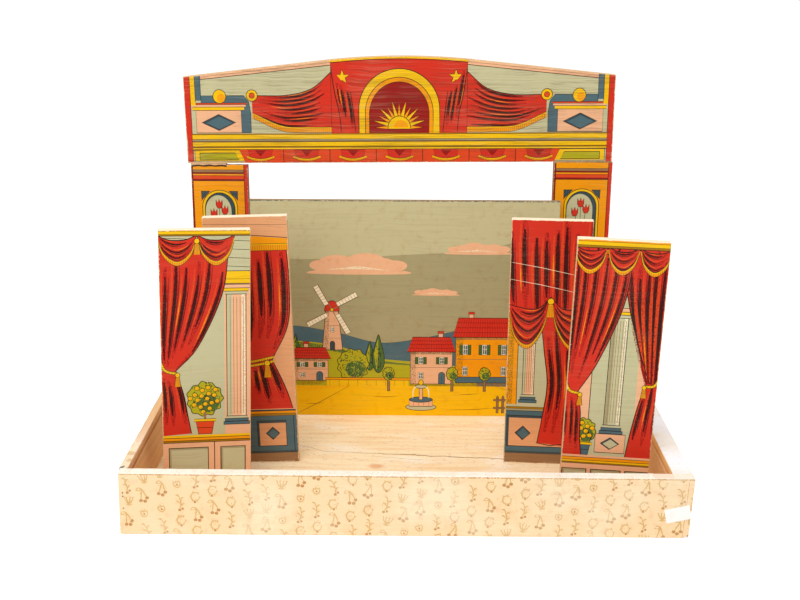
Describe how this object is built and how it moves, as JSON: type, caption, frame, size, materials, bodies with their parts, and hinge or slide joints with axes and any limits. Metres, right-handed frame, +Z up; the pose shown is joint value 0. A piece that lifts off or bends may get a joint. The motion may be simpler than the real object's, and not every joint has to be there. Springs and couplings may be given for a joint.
{
  "type": "puppet theater stand",
  "caption": "Toy puppet theatre: a low papered wooden tray as a stage, with loose curtain wings on pegs, a backdrop in a slot and a proscenium arch with a lift-off pediment.",
  "frame": {"origin": "middle of the tray's underside, on the surface that it stands on", "axes": "+X to the audience's right, +Y from the audience to the back of the stage, +Z up"},
  "size_m": [0.6, 0.3702, 0.4654],
  "materials": {
    "floor_pine": "bare planed pine with fine dark flecks, a knot and a long split",
    "wall_wood": "bare brown softwood",
    "board_wood": "bare sawn wood with darkened edges",
    "dowel_wood": "turned beech",
    "brad_steel": "dull and lightly rusted",
    "cover_paper": "aged cream paper with a small tan print",
    "sticker_paper": "smooth white label paper",
    "wing_print": "printed paper, red curtains, slightly glossy and scuffed",
    "pillar_print": "printed paper, painted architecture, slightly glossy and scuffed",
    "pediment_print": "printed paper, painted architecture, slightly glossy and wrinkled",
    "backdrop_print": "printed paper, a painted village, slightly glossy"
  },
  "bodies": {
    "tray": {"floor_board": "floor_pine", "front_wall": "wall_wood", "back_wall": "wall_wood", "left_wall": "wall_wood", "right_wall": "wall_wood", "front_cover": "cover_paper", "left_cover": "cover_paper", "right_cover": "cover_paper", "back_cover": "cover_paper", "price_sticker": "sticker_paper", "brad_front_left_low": "brad_steel", "brad_front_left_middle": "brad_steel", "brad_front_left_high": "brad_steel", "brad_front_right_low": "brad_steel", "brad_front_right_middle": "brad_steel", "brad_front_right_high": "brad_steel", "brad_back_left_low": "brad_steel", "brad_back_left_middle": "brad_steel", "brad_back_left_high": "brad_steel", "brad_back_right_low": "brad_steel", "brad_back_right_middle": "brad_steel", "brad_back_right_high": "brad_steel", "floor_brad_front_left": "brad_steel", "floor_brad_front_middle": "brad_steel", "floor_brad_front_right": "brad_steel", "floor_brad_back_left": "brad_steel", "floor_brad_back_middle": "brad_steel", "floor_brad_back_right": "brad_steel", "floor_brad_left_front": "brad_steel", "floor_brad_left_back": "brad_steel", "floor_brad_right_front": "brad_steel", "floor_brad_right_back": "brad_steel"},
    "backdrop": {"backdrop": "board_wood", "backdrop_print": "backdrop_print"},
    "left_pillar": {"left_pillar": "board_wood", "left_pillar_print": "pillar_print", "left_pillar_foot_dowel": "dowel_wood", "left_pillar_head_dowel": "dowel_wood"},
    "right_pillar": {"right_pillar": "board_wood", "right_pillar_print": "pillar_print", "right_pillar_foot_dowel": "dowel_wood", "right_pillar_head_dowel": "dowel_wood"},
    "pediment": {"pediment": "board_wood", "pediment_print": "pediment_print"},
    "wing_front_left_peg": {"wing_front_left_peg": "dowel_wood"},
    "wing_front_left": {"wing_front_left": "board_wood", "wing_front_left_print": "wing_print"},
    "wing_back_left_peg": {"wing_back_left_peg": "dowel_wood"},
    "wing_back_left": {"wing_back_left": "board_wood", "wing_back_left_print": "wing_print"},
    "wing_back_right_peg": {"wing_back_right_peg": "dowel_wood"},
    "wing_back_right": {"wing_back_right": "board_wood", "wing_back_right_print": "wing_print"},
    "wing_front_right_peg": {"wing_front_right_peg": "dowel_wood"},
    "wing_front_right": {"wing_front_right": "board_wood", "wing_front_right_print": "wing_print"}
  },
  "joints": [
    {"name": "backdrop_lift", "type": "slide", "parent": "tray", "child": "backdrop", "axis": [0, 0, 1], "range_m": [0, 0.485]},
    {"name": "left_pillar_lift", "type": "slide", "parent": "tray", "child": "left_pillar", "axis": [0, 0, 1], "range_m": [0, 0.325]},
    {"name": "right_pillar_lift", "type": "slide", "parent": "tray", "child": "right_pillar", "axis": [0, 0, 1], "range_m": [0, 0.325]},
    {"name": "pediment_lift", "type": "slide", "parent": "left_pillar", "child": "pediment", "axis": [0, 0, 1], "range_m": [0, 0.06]},
    {"name": "wing_front_left_turn", "type": "hinge", "parent": "tray", "child": "wing_front_left_peg", "pos_m": [-0.22455, -0.0822, 0.00825], "axis": [0, 0, 1], "range_deg": [-30, 30]},
    {"name": "wing_front_left_lift", "type": "slide", "parent": "wing_front_left_peg", "child": "wing_front_left", "axis": [0, 0, 1], "range_m": [0, 0.48]},
    {"name": "wing_back_left_turn", "type": "hinge", "parent": "tray", "child": "wing_back_left_peg", "pos_m": [-0.17325, -0.0169, 0.00825], "axis": [0, 0, 1], "range_deg": [-30, 30]},
    {"name": "wing_back_left_lift", "type": "slide", "parent": "wing_back_left_peg", "child": "wing_back_left", "axis": [0, 0, 1], "range_m": [0, 0.48]},
    {"name": "wing_back_right_turn", "type": "hinge", "parent": "tray", "child": "wing_back_right_peg", "pos_m": [0.16195, -0.0157, 0.00825], "axis": [0, 0, 1], "range_deg": [-90, 90]},
    {"name": "wing_back_right_lift", "type": "slide", "parent": "wing_back_right_peg", "child": "wing_back_right", "axis": [0, 0, 1], "range_m": [0, 0.48]},
    {"name": "wing_front_right_turn", "type": "hinge", "parent": "tray", "child": "wing_front_right_peg", "pos_m": [0.21665, -0.1162, 0.00825], "axis": [0, 0, 1], "range_deg": [-90, 90]},
    {"name": "wing_front_right_lift", "type": "slide", "parent": "wing_front_right_peg", "child": "wing_front_right", "axis": [0, 0, 1], "range_m": [0, 0.48]}
  ],
  "couplings": [
    {"joint": "right_pillar_lift", "follows": "left_pillar_lift", "ratio": 1}
  ]
}
